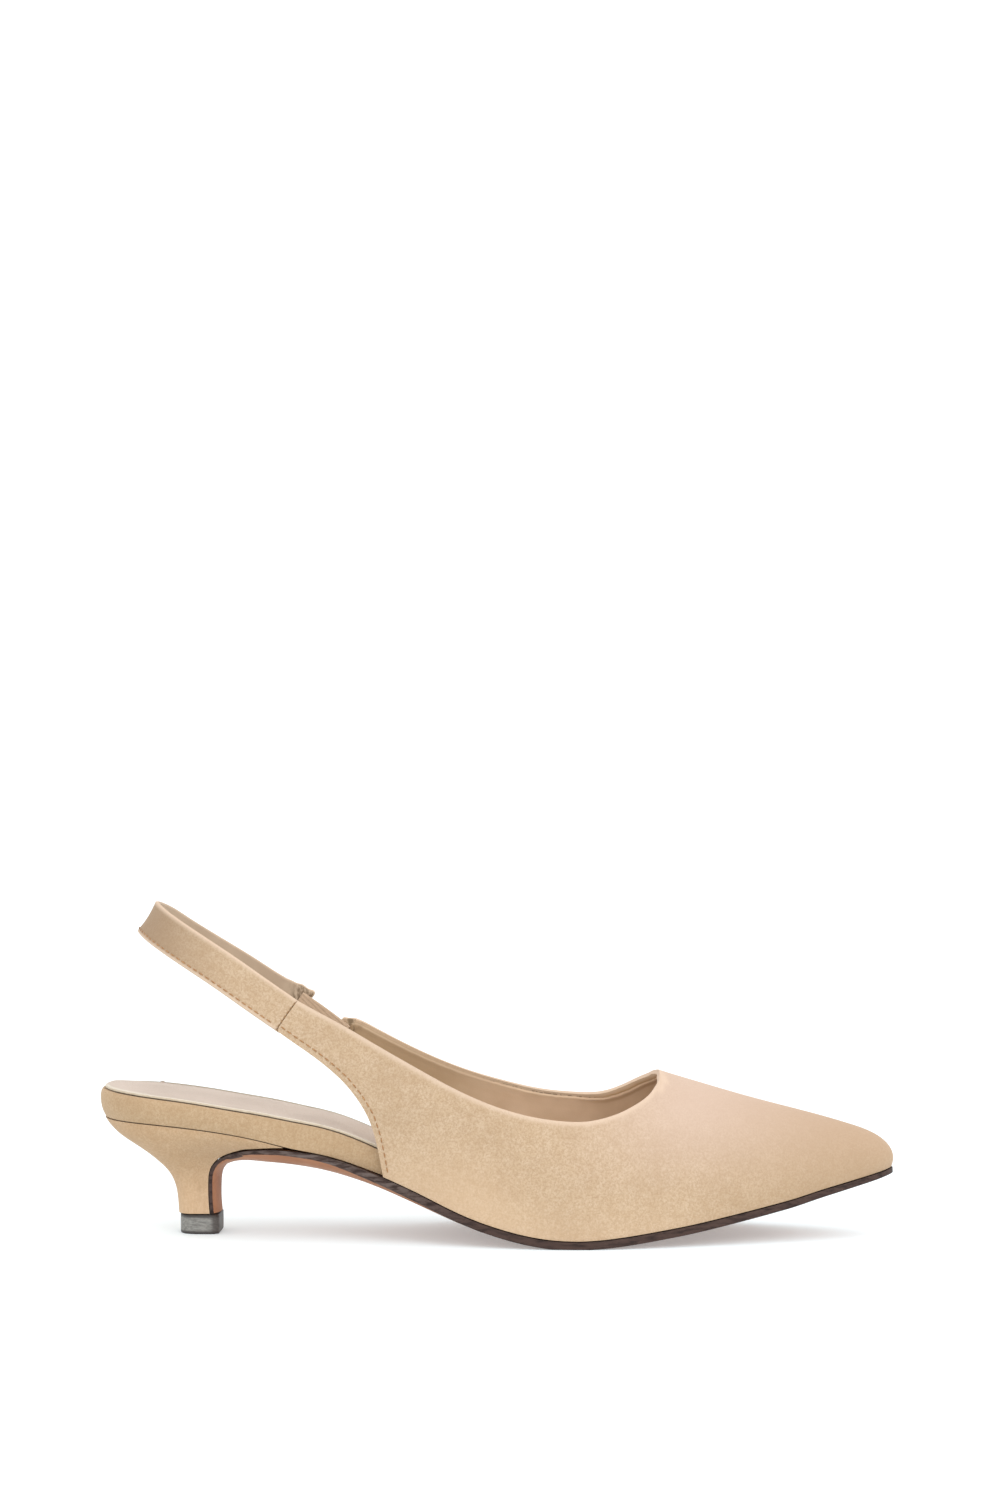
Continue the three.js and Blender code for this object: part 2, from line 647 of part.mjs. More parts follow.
// Point on the closed shape of the upper, by station, side and share of the way up.
function lastPoint(x, side, up) {
  const foot = planPoint(x, side, FEATHER_SET);
  const base = soleTop(x) + CLEARANCE;
  const fold = clamp((x - THROAT) / (TOE_END - THROAT), 0, 1);
  const ridgeX = x - TOE_LAG * fold * fold;
  const ridgeAt = (place) => byShare(RIDGE, "height", place) * THROAT_RISE;
  const ridge = ridgeAt(ridgeX);
  const slope = (ridgeAt(ridgeX + 1) - ridgeAt(ridgeX - 1)) / 2;
  const across = byShare(RIDGE, "across", x) * TREAD;
  const bulge = byShare(RIDGE, "bulge", x) * TREAD;
  const crown = byShare(RIDGE, "crown", x);
  const p0 = new THREE.Vector3(foot.x, foot.y, base);
  const p3 = new THREE.Vector3(ridgeX, across, ridge);
  const p1 = new THREE.Vector3(
    foot.x + foot.nx * bulge,
    foot.y + foot.ny * bulge,
    lerp(base, ridge, 0.5),
  );
  const out = crown * (foot.x - ridgeX);
  const p2 = new THREE.Vector3(ridgeX + out, lerp(across, foot.y, crown), ridge + slope * out);
  return new THREE.CubicBezierCurve3(p0, p1, p2, p3).getPoint(up);
}

// Evenly spaced places along an edge of the upper, given as station and share up.
function edgePlaces(rows, side, count) {
  const fine = 160;
  const places = [];
  for (let k = 0; k <= fine; k += 1) {
    const at = (k / fine) * (rows.length - 1);
    const x = atShare(byRow(rows, "along", at));
    const up = clamp(byRow(rows, "up", at), 0, 1);
    places.push({ x, up, point: lastPoint(x, side, up) });
  }
  const lengths = [0];
  for (let k = 1; k <= fine; k += 1) {
    lengths.push(lengths[k - 1] + places[k].point.distanceTo(places[k - 1].point));
  }
  const chosen = [];
  for (let j = 0; j <= count; j += 1) {
    const want = (j / count) * lengths[fine];
    let k = 1;
    while (k < fine && lengths[k] < want) k += 1;
    const t = clamp((want - lengths[k - 1]) / (lengths[k] - lengths[k - 1]), 0, 1);
    const before = places[k - 1];
    const after = places[k];
    chosen.push({ x: lerp(before.x, after.x, t), up: lerp(before.up, after.up, t) });
  }
  return chosen;
}

// Upper: both sides run from their back edges round the throat and join over the toe.
function upper() {
  const backColumns = 9;
  const sideColumns = 16;
  const toeColumns = 13;
  const rows = 10;
  const featherTurn = 168;
  const skin = new Skin();
  const rim = new Set();
  for (const side of SIDES) {
    const topRows = side < 0 ? OUTER_TOPLINE : INNER_TOPLINE;
    const backRows = side < 0 ? OUTER_BACK_EDGE : INNER_BACK_EDGE;
    const tops = edgePlaces(topRows, side, backColumns + sideColumns);
    const lows = edgePlaces(backRows, side, backColumns);
    const corner = lows[lows.length - 1].x;
    for (let k = 1; k <= sideColumns; k += 1) {
      lows.push({ x: lerp(corner, featherTurn, k / sideColumns), up: 0 });
    }
    for (let k = 1; k <= toeColumns; k += 1) {
      const t = Math.sin((k / toeColumns) * Math.PI / 2);
      tops.push({ x: lerp(THROAT, TOE_END, t), up: 1 });
      lows.push({ x: lerp(featherTurn, TOE_END, t), up: 0 });
    }
    const grid = tops.map((top, i) => {
      const overToe = clamp((top.x - THROAT) / (TOE_END - THROAT), 0, 1);
      const lead = 1 + 1.6 * clamp((top.up - 0.4) / 0.6, 0, 1) * (1 - overToe);
      const column = [];
      for (let j = 0; j <= rows; j += 1) {
        const t = j / rows;
        const x = lerp(top.x, lows[i].x, 1 - (1 - t) ** lead);
        column.push(lastPoint(x, side, lerp(top.up, lows[i].up, t)));
      }
      return column;
    });
    for (let i = 0; i + 1 < grid.length; i += 1) {
      for (let j = 0; j < rows; j += 1) {
        const corners = [grid[i][j], grid[i + 1][j], grid[i + 1][j + 1], grid[i][j + 1]];
        if (side < 0) corners.reverse();
        skin.quad(...corners);
      }
    }
    for (let i = backColumns; i < grid.length; i += 1) rim.add(skin.add(grid[i][rows]));
  }
  if (skin.volume() < 0) for (const face of skin.faces) face.reverse();
  skin.thicken(WALL, rim);
  return skin.mesh("upper", "suedeVamp");
}

// Ribbon with a wall: the outer face hollows slightly across its width.
function ribbon(rows, width, wall, hollow, pieces) {
  const shares = [
    { across: -0.5, sink: 0.35 },
    { across: -0.46, sink: 0 },
    { across: -0.22, sink: 0 },
    { across: 0, sink: 0 },
    { across: 0.22, sink: 0 },
    { across: 0.46, sink: 0 },
    { across: 0.5, sink: 0.35 },
  ];
  const middle = (at) => new THREE.Vector3(
    atShare(byRow(rows, "along", at)),
    byRow(rows, "across", at) * STRAP_SPREAD,
    byRow(rows, "height", at) * STRAP_RISE,
  );
  const last = rows.length - 1;
  const rings = [];
  for (let k = 0; k <= pieces; k += 1) {
    const at = (k / pieces) * last;
    const ahead = middle(Math.min(at + 0.02, last));
    const tangent = ahead.sub(middle(Math.max(at - 0.02, 0))).normalize();
    const lean = THREE.MathUtils.degToRad(byRow(rows, "lean", at));
    const up = new THREE.Vector3(Math.sin(lean), byRow(rows, "nip", at), Math.cos(lean));
    up.addScaledVector(tangent, -up.dot(tangent)).normalize();
    const inward = tangent.clone().cross(up).normalize();
    const place = middle(at);
    const dip = hollow * Math.sin((k / pieces) * Math.PI) ** 2;
    const point = (row, depth) => place.clone()
      .addScaledVector(up, row.across * width)
      .addScaledVector(inward, depth + dip * (1 - (2 * row.across) ** 2));
    rings.push([
      shares.map((row) => point(row, row.sink)),
      shares.map((row) => point(row, wall - row.sink)),
    ]);
  }
  return loft(rings);
}

const shoe = new THREE.Group();
shoe.name = "kitten_heel_pump";
shoe.add(outsole());
shoe.add(topPiece());
shoe.add(heel());
shoe.add(seatBoard());
shoe.add(insole());
shoe.add(upper());
shoe.add(ribbon(STRAP, STRAP_WIDTH, STRAP_WALL, 0.6, 40).mesh("sling_strap", "suede"));
shoe.add(ribbon(GORE, GORE_WIDTH, GORE_WALL, 0, 8).mesh("elastic_gore", "elastic"));

export default shoe;
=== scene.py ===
"""Looks of the kitten heel sling pump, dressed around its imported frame.

Each piece starts as the mesh of its own CAD node. Its sharp edges are rounded, its surface is
smoothed, and small moves add what wear, folding and the elastic do to it. Distances to its
edges are stored as attributes, so that the materials follow the edges.
"""

import math

import bmesh
import bpy
from mathutils import Matrix, Vector
from mathutils.bvhtree import BVHTree
from mathutils.kdtree import KDTree


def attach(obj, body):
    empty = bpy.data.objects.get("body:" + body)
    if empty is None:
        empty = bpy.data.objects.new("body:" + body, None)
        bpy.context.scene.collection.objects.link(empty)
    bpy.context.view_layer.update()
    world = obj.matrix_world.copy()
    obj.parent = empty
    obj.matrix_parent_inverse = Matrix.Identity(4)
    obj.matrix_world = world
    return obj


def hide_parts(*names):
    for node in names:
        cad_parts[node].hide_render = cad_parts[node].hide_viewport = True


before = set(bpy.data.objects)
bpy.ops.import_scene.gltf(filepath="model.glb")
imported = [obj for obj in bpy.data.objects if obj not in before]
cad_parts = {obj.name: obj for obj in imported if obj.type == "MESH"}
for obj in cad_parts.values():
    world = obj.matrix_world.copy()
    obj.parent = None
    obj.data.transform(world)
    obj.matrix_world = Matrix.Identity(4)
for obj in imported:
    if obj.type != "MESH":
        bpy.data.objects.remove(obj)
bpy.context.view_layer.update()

# Sizes that several pieces share

MM = 0.001
WELD = 0.02 * MM  # points this close are one
HALVES_APART = 0.6 * MM  # the most that matching points of two halves are apart
ROUTE_PITCH = 0.5 * MM
RIM_PITCH = 0.4 * MM
SHARP = math.radians(38)  # a bend between two faces that is an edge
CORNER = math.radians(48)  # a bend along a border that ends a run

# Places run forward from the heel tip to the toe at 230 mm, across to the inner side, and up

FORWARD, ACROSS, UP = range(3)

# Camera and studio lights

SENSOR_WIDTH = 36
FOCAL_LENGTH = 82.5
NEAREST, FURTHEST = 0.05, 40
CAMERA_PLACE = (0.1387, -1.143, 0.1702)
CAMERA_TURN = (math.radians(89.523), 0, math.radians(1.95))
SHOE_MIDDLE = Vector((0.1, 0, 0.04))
STUDIO_LIGHT = 1.3


def added(name, data):
    """A new object in the scene for a mesh, light or camera."""
    made = bpy.data.objects.new(name, data)
    bpy.context.collection.objects.link(made)
    return made


def softbox(name, place, size, energy):
    """A square studio light aimed at the shoe."""
    data = bpy.data.lights.new(name, "AREA")
    data.shape, data.size, data.energy = "SQUARE", size, energy
    light = added(name, data)
    light.location = place
    light.rotation_euler = (SHOE_MIDDLE - Vector(place)).to_track_quat("-Z", "Y").to_euler()


def ceiling_panel(source, energy, spread):
    """Soft light that comes from the direction source."""
    data = bpy.data.lights.new("ceiling_panel", "SUN")
    data.energy, data.angle = energy, spread
    light = added("ceiling_panel", data)
    light.rotation_euler = Vector(source).to_track_quat("Z", "Y").to_euler()


camera_data = bpy.data.cameras.new("camera")
camera_data.sensor_width = SENSOR_WIDTH
camera_data.lens = FOCAL_LENGTH
camera_data.clip_start, camera_data.clip_end = NEAREST, FURTHEST
camera = added("camera", camera_data)
camera.location = CAMERA_PLACE
camera.rotation_euler = CAMERA_TURN
bpy.context.scene.camera = camera
bpy.context.scene.view_settings.view_transform = "Standard"

softbox("right_softbox", (0.9, -1.2, 1.0), size=0.9, energy=3.0)
softbox("low_fill", (0.1, -1.7, 0.3), size=1.2, energy=3.0)
ceiling_panel((0.35, -0.45, 1), energy=0.5, spread=math.radians(60))

# Shader expressions


def srgb(red, green, blue):
    """A colour as seen under the studio light, 0 to 255, as the shader's linear colour."""
    def linear(value):
        value /= 255
        return value / 12.92 if value <= 0.04045 else ((value + 0.055) / 1.055) ** 2.4
    return tuple(linear(value) / STUDIO_LIGHT for value in (red, green, blue)) + (1,)


class Socket:
    """An output in a finish. Arithmetic on it adds Math nodes."""

    def __init__(self, finish, output):
        self.finish = finish
        self.output = output

    def math(self, operation, *values):
        sockets = dict(enumerate(values))
        return self.finish.node("ShaderNodeMath", {"operation": operation}, sockets)

    def __add__(self, other):
        return self.math("ADD", self, other)

    def __sub__(self, other):
        return self.math("SUBTRACT", self, other)

    def __mul__(self, other):
        return self.math("MULTIPLY", self, other)

    def __rsub__(self, other):
        return self.math("SUBTRACT", other, self)

    __radd__ = __add__
    __rmul__ = __mul__

    def rise(self, low, high):
        """0 below low and 1 above high, smooth between."""
        settings = {"interpolation_type": "SMOOTHSTEP"}
        sockets = {0: self, 1: low, 2: high, 3: 0.0, 4: 1.0}
        return self.finish.node("ShaderNodeMapRange", settings, sockets)

    def band(self, middle, width):
        """1 on a line at middle, falling to 0 at width to either side."""
        return 1 - self.math("ABSOLUTE", self - middle).rise(0.0, width)


class Finish:
    """One material. Every node in it comes from node()."""

    def __init__(self, name):
        self.material = bpy.data.materials.new(name)
        self.material.use_nodes = True
        self.tree = self.material.node_tree
        self.tree.nodes.clear()
        self.place = self.node("ShaderNodeTexCoord", output="Object")

    def node(self, kind, settings=None, sockets=None, output=0):
        """Adds a node and returns its output, if it has one."""
        made = self.tree.nodes.new(kind)
        for key, value in (settings or {}).items():
            setattr(made, key, value)
        for key, value in (sockets or {}).items():
            if isinstance(value, Socket):
                self.tree.links.new(value.output, made.inputs[key])
            else:
                made.inputs[key].default_value = value
        return Socket(self, made.outputs[output]) if made.outputs else None

    def coordinate(self, axis):
        """One coordinate of the place on the shoe, in metres."""
        return self.node("ShaderNodeSeparateXYZ", None, {0: self.place}, output=axis)

    def stretched(self, scale):
        """The place with its axes scaled, so that a pattern on it is drawn out."""
        return self.node("ShaderNodeMapping", None, {"Vector": self.place, "Scale": scale})

    def noise(self, size, detail=3.0, rough=0.55, place=None):
        """Cloudy variation about 0.5 whose patches are size metres across."""
        place = place or self.place
        sockets = {"Vector": place, "Scale": 1 / size, "Detail": detail, "Roughness": rough}
        return self.node("ShaderNodeTexNoise", None, sockets)

    def attribute(self, name):
        """A value that write_attribute() stored on the piece."""
        return self.node("ShaderNodeAttribute", {"attribute_name": name}, output="Fac")

    def mix(self, share, first, second):
        """The first colour, with this share of the second."""
        sockets = {0: share, 6: first, 7: second}
        return self.node("ShaderNodeMix", {"data_type": "RGBA"}, sockets, output=2)

    def bump(self, height, strength, distance):
        sockets = {"Height": height, "Strength": strength, "Distance": distance}
        return self.node("ShaderNodeBump", None, sockets)

    def surface(self, **sockets):
        """Ends the finish with a Principled shader; names use _ for a space."""
        named = {key.replace("_", " "): value for key, value in sockets.items()}
        shader = self.node("ShaderNodeBsdfPrincipled", None, named)
        self.node("ShaderNodeOutputMaterial", None, {"Surface": shader})
        return self.material


# Suede

CAMEL = srgb(213, 186, 155)
CAMEL_LIGHT = srgb(228, 205, 179)
CAMEL_DEEP = srgb(184, 153, 120)
CAMEL_SHADE = srgb(158, 132, 106)
VAMP_HIGHLIGHT = srgb(221, 195, 178)
RUB_HIGHLIGHT = srgb(232, 206, 182)
FLOOR_LIT = srgb(244, 210, 174)
NAP_SHEEN = srgb(250, 232, 216)


def suede_colour(finish, base, deep, light):
    """Soft patches where the nap lies either way, with a fine fleck."""
    patches = finish.noise(13 * MM, 2.0, 0.5).rise(0.36, 0.66)
    brushed = finish.noise(3.2 * MM, 4.0, 0.6).rise(0.34, 0.68)
    coarse = finish.noise(0.75 * MM, 3.0, 0.65).rise(0.38, 0.62)
    fine = finish.noise(0.42 * MM, 2.0, 0.6).rise(0.36, 0.64)
    fleck = 1 - (coarse * 0.6 + fine * 0.4)
    colour = finish.mix(patches * 0.3, base, deep)
    colour = finish.mix(brushed * 0.4, colour, light)
    return finish.mix(fleck * 0.8, colour, deep)


def suede_nap(finish, streak):
    """Height of the nap: brushed tufts and fine fibre ends."""
    tufts = finish.noise(1.5 * MM, 4.0, 0.65)
    fibres = finish.noise(0.4 * MM, 2.0, 0.7)
    height = tufts * 0.8 + fibres * 0.6
    if streak:
        height = height + finish.noise(0.7 * MM, 2.0, 0.5, finish.stretched(streak)) * 0.5
    return height


def suede(name, base, deep, light, streak=None, vamp_light_toe_shade=False, strap_back_shade=False, rim_rub_and_highlight=False, lit=None):
    """Suede.

    streak is the scale that draws its fine lines out. vamp_light_toe_shade paints a highlight on
    the vamp's top and shade towards the toe.
    strap_back_shade paints shade on the strap behind the heel. rim_rub_and_highlight lightens the
    edges where edge_rub_and_highlight says, for rubbing and a painted highlight.
    lit is the heights between which the floor's light fades, nearer the floor at the ball.
    """
    finish = Finish(name)
    forward, height = finish.coordinate(FORWARD), finish.coordinate(UP)
    colour = suede_colour(finish, base, deep, light)
    if vamp_light_toe_shade:
        # Painted light: the top of the vamp is lightened as a highlight, and the toe is darkened
        # as shade.
        vamp = forward.rise(110 * MM, 170 * MM) * height.rise(12 * MM, 48 * MM)
        toe = forward.rise(150 * MM, 220 * MM)
        colour = finish.mix(vamp * 0.8, colour, VAMP_HIGHLIGHT)
        colour = finish.mix(toe * 0.55, colour, deep)
    if lit:
        ball = forward.rise(85 * MM, 125 * MM)
        low = 1 - (height + ball * 20 * MM).rise(*lit)
        behind_toe = 1 - forward.rise(150 * MM, 190 * MM)
        colour = finish.mix(low * behind_toe * 0.45, colour, FLOOR_LIT)
    if strap_back_shade:
        # Painted shade on the strap behind the heel.
        back = 1 - forward.rise(-21 * MM, 16 * MM)
        colour = finish.mix(back * 0.85, colour, CAMEL_SHADE)
    if streak:
        lines = finish.noise(0.9 * MM, 3.0, 0.6, finish.stretched(streak)).rise(0.42, 0.7)
        colour = finish.mix(lines * 0.3, colour, deep)
    if rim_rub_and_highlight:
        # Rubbing and a painted highlight: lighter along the rounded edges.
        colour = finish.mix(finish.attribute("edge_rub_and_highlight") * 0.75, colour, RUB_HIGHLIGHT)
    normal = finish.bump(suede_nap(finish, streak), 0.55, 0.3 * MM)
    return finish.surface(
        Base_Color=colour, Roughness=0.95, Normal=normal, Specular_IOR_Level=0.15,
        Sheen_Weight=0.26, Sheen_Roughness=0.45, Sheen_Tint=NAP_SHEEN,
    )


# Lining

GREIGE = srgb(243, 211, 178)
GREIGE_DEEP = srgb(222, 188, 153)
GREIGE_SHADED = srgb(161, 131, 93)
TURNED_SHADE = srgb(204, 170, 134)
FOLD_HIGHLIGHT = srgb(258, 230, 198)
FOLD_SHADE = srgb(238, 200, 158)
FOLD_LINE = srgb(196, 154, 108)
NEEDLE_HOLE = srgb(104, 78, 54)
ROLLED_HIGHLIGHT = srgb(282, 254, 220)
SHADE_BELOW_ROLL = srgb(182, 142, 104)
CREASE_SHADE = srgb(116, 96, 70)


def lining(name, base, deep, collar=True):
    """Smooth lining with the suede turned in along its edge, over a rolled rim on the collar, with
    painted highlights and shade on the fold, the rim and the creases.
    """
    finish = Finish(name)
    from_top = finish.attribute("from_top")
    forward = finish.coordinate(FORWARD)
    weave = finish.noise(0.5 * MM, 2.0, 0.6)
    ripple = finish.noise(3.0 * MM, 2.0, 0.5)
    throat = forward.rise(122 * MM, 142 * MM)
    quarters = 1 - forward.rise(65 * MM, 115 * MM)
    back = 1 - forward.rise(85 * MM, 120 * MM)
    rim = from_top - throat * MM + (ripple - 0.5) * 0.4 * MM
    fold = 1 - rim.rise(0.8 * MM, 1.0 * MM)

    colour = finish.mix(finish.noise(14 * MM, 3.0, 0.5).rise(0.35, 0.65) * 0.6, base, deep)
    colour = finish.mix(from_top.band(4.6 * MM, 1.6 * MM) * 0.25, colour, deep)
    if collar:
        colour = finish.mix(quarters * 0.75, colour, GREIGE_SHADED)
    # The turned-in suede is painted lighter than the outer suede, as light on it, and painted with
    # shade towards the back.
    turned = suede_colour(finish, CAMEL_LIGHT, CAMEL, RUB_HIGHLIGHT)
    turned = finish.mix(back * 0.5, turned, TURNED_SHADE)
    # Near the throat the fold goes from a painted highlight at its edge to painted shade below it.
    fold_highlight_to_shade = finish.mix(rim.rise(-0.6 * MM, 0.5 * MM), FOLD_HIGHLIGHT, FOLD_SHADE)
    colour = finish.mix(fold, colour, finish.mix(throat * 0.9, turned, fold_highlight_to_shade))
    height = fold * 0.6 + weave * 0.35 + ripple * 0.3
    if collar:
        sewn = finish.noise(1.3 * MM, 2.0, 0.6).rise(0.5, 0.58) * forward.band(118 * MM, 32 * MM)
        rolled = rim.band(1.4 * MM, 0.75 * MM)
        highlight_share = forward.rise(92 * MM, 122 * MM) * 0.7 + 0.3
        colour = finish.mix(rim.band(0.8 * MM, 0.4 * MM) * sewn * 0.8, colour, NEEDLE_HOLE)
        colour = finish.mix(rim.band(0.75 * MM, 0.45 * MM) * throat * 0.7, colour, FOLD_LINE)
        # Painted highlight along the rolled rim, stronger towards the throat.
        colour = finish.mix(rolled * highlight_share, colour, ROLLED_HIGHLIGHT)
        # Painted shade under the rolled rim near the throat.
        colour = finish.mix(rim.band(2.6 * MM, 1.1 * MM) * throat * 0.6, colour, SHADE_BELOW_ROLL)
        height = height + rolled * 0.9

    creases = finish.noise(1.5 * MM, 3.0, 0.6, finish.stretched((1, 1, 0.5)))
    gathered = finish.attribute("gathered").rise(0.1, 0.7)
    # Painted shade in the creases where the lining is gathered.
    colour = finish.mix(gathered * (1 - creases.rise(0.42, 0.6)) * 0.75, colour, CREASE_SHADE)
    normal = finish.bump(height + creases * gathered * 3.0, 0.5, 0.2 * MM)
    return finish.surface(
        Base_Color=colour, Roughness=0.72 + fold * 0.2, Normal=normal,
        Specular_IOR_Level=0.25, Sheen_Weight=0.1, Sheen_Roughness=0.5,
    )


# Insole leather

SOCK_BEIGE = srgb(214, 196, 181)
SOCK_BEIGE_DEEP = srgb(196, 178, 163)
SOCK_GRAIN = srgb(226, 212, 200)
SOCK_SCUFF = srgb(176, 158, 142)
SOCK_BORDER = srgb(232, 222, 204)
CUT_EDGE = srgb(222, 207, 184)
CUT_EDGE_DEEP = srgb(198, 180, 154)


def sock():
    """Pinkish beige with a scuffed heel, fine grain and a cream border on the outer side."""
    finish = Finish("sock_leather")
    forward, across = finish.coordinate(FORWARD), finish.coordinate(ACROSS)
    patches = finish.noise(22 * MM, 3.0, 0.5).rise(0.36, 0.66)
    grain = finish.noise(0.8 * MM, 4.0, 0.6)
    pores = finish.node(
        "ShaderNodeTexVoronoi", {"feature": "DISTANCE_TO_EDGE"},
        {"Vector": finish.place, "Scale": 1 / (0.9 * MM)},
    )
    scuff = finish.noise(6 * MM, 5.0, 0.7).rise(0.55, 0.8) * (1 - forward.rise(0, 50 * MM))
    border = 1 - finish.attribute("from_rim").rise(0.5 * MM, 1.1 * MM)
    outer_side = 1 - across.rise(0, 12 * MM)
    colour = finish.mix(patches * 0.6, SOCK_BEIGE, SOCK_BEIGE_DEEP)
    colour = finish.mix(grain.rise(0.45, 0.75) * 0.25, colour, SOCK_GRAIN)
    colour = finish.mix(scuff * 0.25, colour, SOCK_SCUFF)
    colour = finish.mix(border * outer_side * 0.8, colour, SOCK_BORDER)
    normal = finish.bump(grain * 0.5 + pores * 160, 0.2, 0.12 * MM)
    return finish.surface(
        Base_Color=colour, Roughness=grain * 0.2 + 0.5, Normal=normal, Specular_IOR_Level=0.35,
    )


def sock_edge():
    """Cut edge of the insole leather, cream and a little fibrous."""
    finish = Finish("sock_cut_edge")
    fibres = finish.noise(0.4 * MM, 3.0, 0.6, finish.stretched((0.25, 1, 2)))
    colour = finish.mix(fibres.rise(0.35, 0.7), CUT_EDGE, CUT_EDGE_DEEP)
    normal = finish.bump(fibres, 0.4, 0.1 * MM)
    return finish.surface(Base_Color=colour, Roughness=0.8, Normal=normal)


# Sole leather

TAN = srgb(190, 136, 104)
TAN_DEEP = srgb(174, 120, 89)
TAN_GRAIN = srgb(162, 108, 78)
TREAD_SCUFF = srgb(118, 92, 78)
EDGE_PAINT = srgb(52, 40, 37)
EDGE_PAINT_THIN = srgb(82, 64, 58)
EDGE_HIGHLIGHT = srgb(126, 114, 109)


def sole():
    """Tan sole leather whose upper edge is painted dark, with a grey painted highlight streaked
    along the waist.
    """
    finish = Finish("sole_leather_tan")
    forward, height = finish.coordinate(FORWARD), finish.coordinate(UP)
    grain = finish.noise(1.4 * MM, 4.0, 0.6, finish.stretched((0.3, 1, 1)))
    pores = finish.noise(0.45 * MM, 2.0, 0.6)
    patches = finish.noise(16 * MM, 2.0, 0.5).rise(0.35, 0.65)
    scuffs = finish.noise(2.2 * MM, 5.0, 0.7, finish.stretched((0.5, 1, 1))).rise(0.48, 0.66)
    tread = forward.band(125 * MM, 60 * MM) * (1 - height.rise(0.4 * MM, 2.2 * MM))
    tan = finish.mix(patches * 0.6, TAN, TAN_DEEP)
    tan = finish.mix(grain.rise(0.4, 0.7) * 0.4, tan, TAN_GRAIN)
    tan = finish.mix(tread * scuffs * 0.7, tan, TREAD_SCUFF)

    streaks = finish.noise(1.6 * MM, 4.0, 0.65, finish.stretched((0.22, 1, 1.6)))
    # Painted highlight: grey streaks on the dark edge along the waist.
    edge_highlight = streaks.rise(0.43, 0.6) * forward.band(45 * MM, 50 * MM)
    paint = finish.mix(streaks.rise(0.3, 0.6), EDGE_PAINT, EDGE_PAINT_THIN)
    paint = finish.mix(edge_highlight * 0.7, paint, EDGE_HIGHLIGHT)

    behind_waist, waist = forward.rise(12 * MM, 30 * MM), forward.rise(30 * MM, 75 * MM)
    width = behind_waist * 0.5 * MM + waist * 1.5 * MM + 1.15 * MM
    below = finish.attribute("from_rim") + (pores - 0.5) * 0.25 * MM
    band = (width - below).rise(-0.12 * MM, 0.12 * MM)
    upright = 1 - finish.attribute("facing_down").rise(0.55, 0.75)
    fore_side = upright * forward.rise(66 * MM, 82 * MM)
    painted = band + fore_side - band * fore_side
    colour = finish.mix(painted, tan, paint)
    normal = finish.bump(grain * 0.4 + pores * 0.3 + streaks * painted * 0.5, 0.35, 0.14 * MM)
    return finish.surface(
        Base_Color=colour, Roughness=patches * 0.12 + 0.48, Normal=normal, Specular_IOR_Level=0.12,
    )


# Heel tip

TIP_GREY = srgb(122, 120, 116)
TIP_GREY_LIGHT = srgb(158, 156, 150)
TIP_RIM = srgb(46, 39, 37)
TIP_FRONT = srgb(62, 52, 48)


def rubber():
    """Moulded heel tip: brushed grey faces with darker rims and front."""
    finish = Finish("tip_rubber")
    brushed = finish.noise(0.7 * MM, 4.0, 0.65, finish.stretched((0.35, 1, 1.4)))
    front = finish.coordinate(FORWARD).rise(3.5 * MM, 5.2 * MM)
    colour = finish.mix(brushed.rise(0.35, 0.68), TIP_GREY, TIP_GREY_LIGHT)
    colour = finish.mix(finish.attribute("near_corner") * 0.9, colour, TIP_RIM)
    colour = finish.mix(front * 0.75, colour, TIP_FRONT)
    normal = finish.bump(brushed, 0.45, 0.12 * MM)
    return finish.surface(
        Base_Color=colour, Roughness=brushed * 0.25 + 0.4, Normal=normal, Specular_IOR_Level=0.4,
    )


# Elastic and thread

ELASTIC = srgb(196, 166, 138)
ELASTIC_RIB = srgb(218, 188, 158)


def elastic():
    """Covered elastic: fine ribs with a soft fuzz over them."""
    finish = Finish("covered_elastic")
    ribs = finish.node(
        "ShaderNodeTexWave", {"wave_type": "BANDS", "bands_direction": "DIAGONAL"},
        {"Vector": finish.place, "Scale": 420.0, "Distortion": 1.2, "Detail": 2.0},
    )
    fuzz = finish.noise(0.6 * MM, 3.0, 0.6)
    colour = finish.mix(ribs * 0.5, ELASTIC, ELASTIC_RIB)
    colour = finish.mix(fuzz.rise(0.4, 0.7) * 0.35, colour, CAMEL_DEEP)
    normal = finish.bump(ribs * 0.8 + fuzz * 0.3, 0.6, 0.25 * MM)
    return finish.surface(Base_Color=colour, Roughness=0.88, Normal=normal, Sheen_Weight=0.15)


def thread(name, colour, shade):
    """Twisted sewing thread, darker between its plies."""
    finish = Finish(name)
    plies = finish.noise(0.3 * MM, 2.0, 0.5)
    tone = finish.mix(plies.rise(0.35, 0.65), shade, colour)
    normal = finish.bump(plies, 0.5, 0.08 * MM)
    return finish.surface(Base_Color=tone, Roughness=0.6, Normal=normal, Sheen_Weight=0.2)


# The finishes that the pieces wear

UPPER_SUEDE = suede(
    "vamp_suede", CAMEL, CAMEL_DEEP, CAMEL_LIGHT, vamp_light_toe_shade=True, rim_rub_and_highlight=True, lit=(8 * MM, 42 * MM),
)
STRAP_SUEDE = suede("strap_suede", CAMEL, CAMEL_DEEP, CAMEL_LIGHT, strap_back_shade=True, rim_rub_and_highlight=True)
HEEL_SUEDE = suede(
    "heel_suede", srgb(211, 178, 143), srgb(187, 153, 116), srgb(219, 191, 159),
    streak=(1, 1, 0.18), lit=(4 * MM, 30 * MM),
)
SEAT_SUEDE = suede(
    "rand_suede", srgb(204, 175, 141), srgb(182, 150, 114), srgb(214, 188, 156),
    streak=(1, 1, 0.2),
)
COLLAR_LINING = lining("collar_lining", GREIGE, GREIGE_DEEP)
STRAP_LINING = lining("strap_lining", srgb(198, 174, 149), srgb(183, 157, 132), collar=False)
